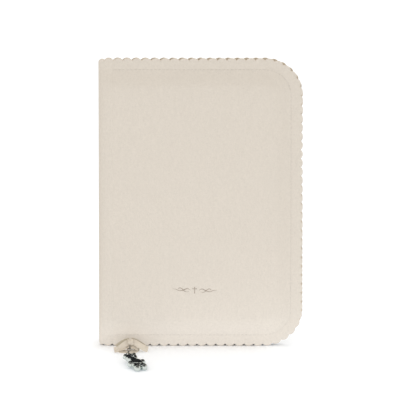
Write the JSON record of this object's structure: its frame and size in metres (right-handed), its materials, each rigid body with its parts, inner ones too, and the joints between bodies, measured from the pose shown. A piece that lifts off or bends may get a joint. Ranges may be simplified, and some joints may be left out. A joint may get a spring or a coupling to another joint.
{
  "type": "zip-around prayer book",
  "caption": "Prayer book in a zip-around leatherette cover with scalloped edges, covers and leaves that open, and a ribbon bow pull with a bear charm.",
  "frame": {"origin": "foot of the spine: on the spine's outer line, at mid-thickness, on the plane the tail edge stands on", "axes": "+X from the spine to the fore-edge, +Y from the front cover to the back cover, +Z from tail to head"},
  "size_m": [0.168, 0.076, 0.25],
  "materials": {
    "leatherette": "matt cream, fine linen-like grain",
    "lining": "matt",
    "board": "raw",
    "paper": "matt cream",
    "binding_cloth": "open weave",
    "silk": "satin gold",
    "zip_tape": "woven",
    "zip_coil": "semi-matt",
    "metal": "polished",
    "ribbon": "satin cream"
  },
  "bodies": {
    "spine": {"spine_skin": "leatherette", "spine_lining": "lining", "spine_stiffener": "board", "mull": "binding_cloth", "head_band": "silk", "tail_band": "silk", "ribbon_marker": "silk", "section_1": "paper", "section_2": "paper", "section_3": "paper", "section_4": "paper", "section_5": "paper", "section_6": "paper", "section_7": "paper", "section_8": "paper"},
    "front_cover": {"front_cover_skin": "leatherette", "front_board": "board", "front_lining": "lining", "front_zip_tape": "zip_tape", "front_zip_coil": "zip_coil", "front_pastedown": "paper"},
    "back_cover": {"back_cover_skin": "leatherette", "back_board": "board", "back_lining": "lining", "back_zip_tape": "zip_tape", "back_zip_coil": "zip_coil", "back_pastedown": "paper"},
    "front_flyleaf": {"front_flyleaf": "paper"},
    "leaf_1": {"leaf_1": "paper"},
    "leaf_2": {"leaf_2": "paper"},
    "leaf_3": {"leaf_3": "paper"},
    "back_flyleaf": {"back_flyleaf": "paper"},
    "slider": {"zip_slider": "metal"},
    "pull": {"ribbon_bow": "ribbon", "charm_chain": "metal"},
    "charm": {"bear_charm": "metal"}
  },
  "joints": [
    {"name": "front_cover_hinge", "type": "hinge", "parent": "spine", "child": "front_cover", "pos_m": [0.01, -0.0075, 0.125], "axis": [0, 0, -1], "range_deg": [0, 175]},
    {"name": "back_cover_hinge", "type": "hinge", "parent": "spine", "child": "back_cover", "pos_m": [0.01, 0.0075, 0.125], "axis": [0, 0, 1], "range_deg": [0, 175]},
    {"name": "front_flyleaf_turn", "type": "hinge", "parent": "spine", "child": "front_flyleaf", "pos_m": [0.0101, -0.00462, 0.125], "axis": [0, 0, -1], "range_deg": [0, 87.6]},
    {"name": "leaf_1_turn", "type": "hinge", "parent": "spine", "child": "leaf_1", "pos_m": [0.0104, -0.00438, 0.125], "axis": [0, 0, -1], "range_deg": [0, 78.8]},
    {"name": "leaf_2_turn", "type": "hinge", "parent": "spine", "child": "leaf_2", "pos_m": [0.0107, -0.00407, 0.125], "axis": [0, 0, -1], "range_deg": [0, 61.3]},
    {"name": "leaf_3_turn", "type": "hinge", "parent": "spine", "child": "leaf_3", "pos_m": [0.011, -0.00378, 0.125], "axis": [0, 0, -1], "range_deg": [0, 35.1]},
    {"name": "back_flyleaf_turn", "type": "hinge", "parent": "spine", "child": "back_flyleaf", "pos_m": [0.0101, 0.00462, 0.125], "axis": [0, 0, 1], "range_deg": [0, 87.6]},
    {"name": "zip_slide", "type": "slide", "parent": "front_cover", "child": "slider", "axis": [1, 0, 0], "range_m": [0, 0.09339]},
    {"name": "pull_swing", "type": "hinge", "parent": "slider", "child": "pull", "pos_m": [0.02635, 0, 0.0009], "axis": [1, 0, 0], "range_deg": [0, 90]},
    {"name": "charm_swing", "type": "hinge", "parent": "pull", "child": "charm", "pos_m": [0.0243, -0.04056, 0.00695], "axis": [0.8988, 0.4384, 0], "range_deg": [-60, 60]}
  ],
  "couplings": [
    {"joint": "front_flyleaf_turn", "follows": "front_cover_hinge", "ratio": 0.5},
    {"joint": "leaf_1_turn", "follows": "front_cover_hinge", "ratio": 0.45},
    {"joint": "leaf_2_turn", "follows": "front_cover_hinge", "ratio": 0.35},
    {"joint": "leaf_3_turn", "follows": "front_cover_hinge", "ratio": 0.2},
    {"joint": "back_flyleaf_turn", "follows": "back_cover_hinge", "ratio": 0.5}
  ]
}
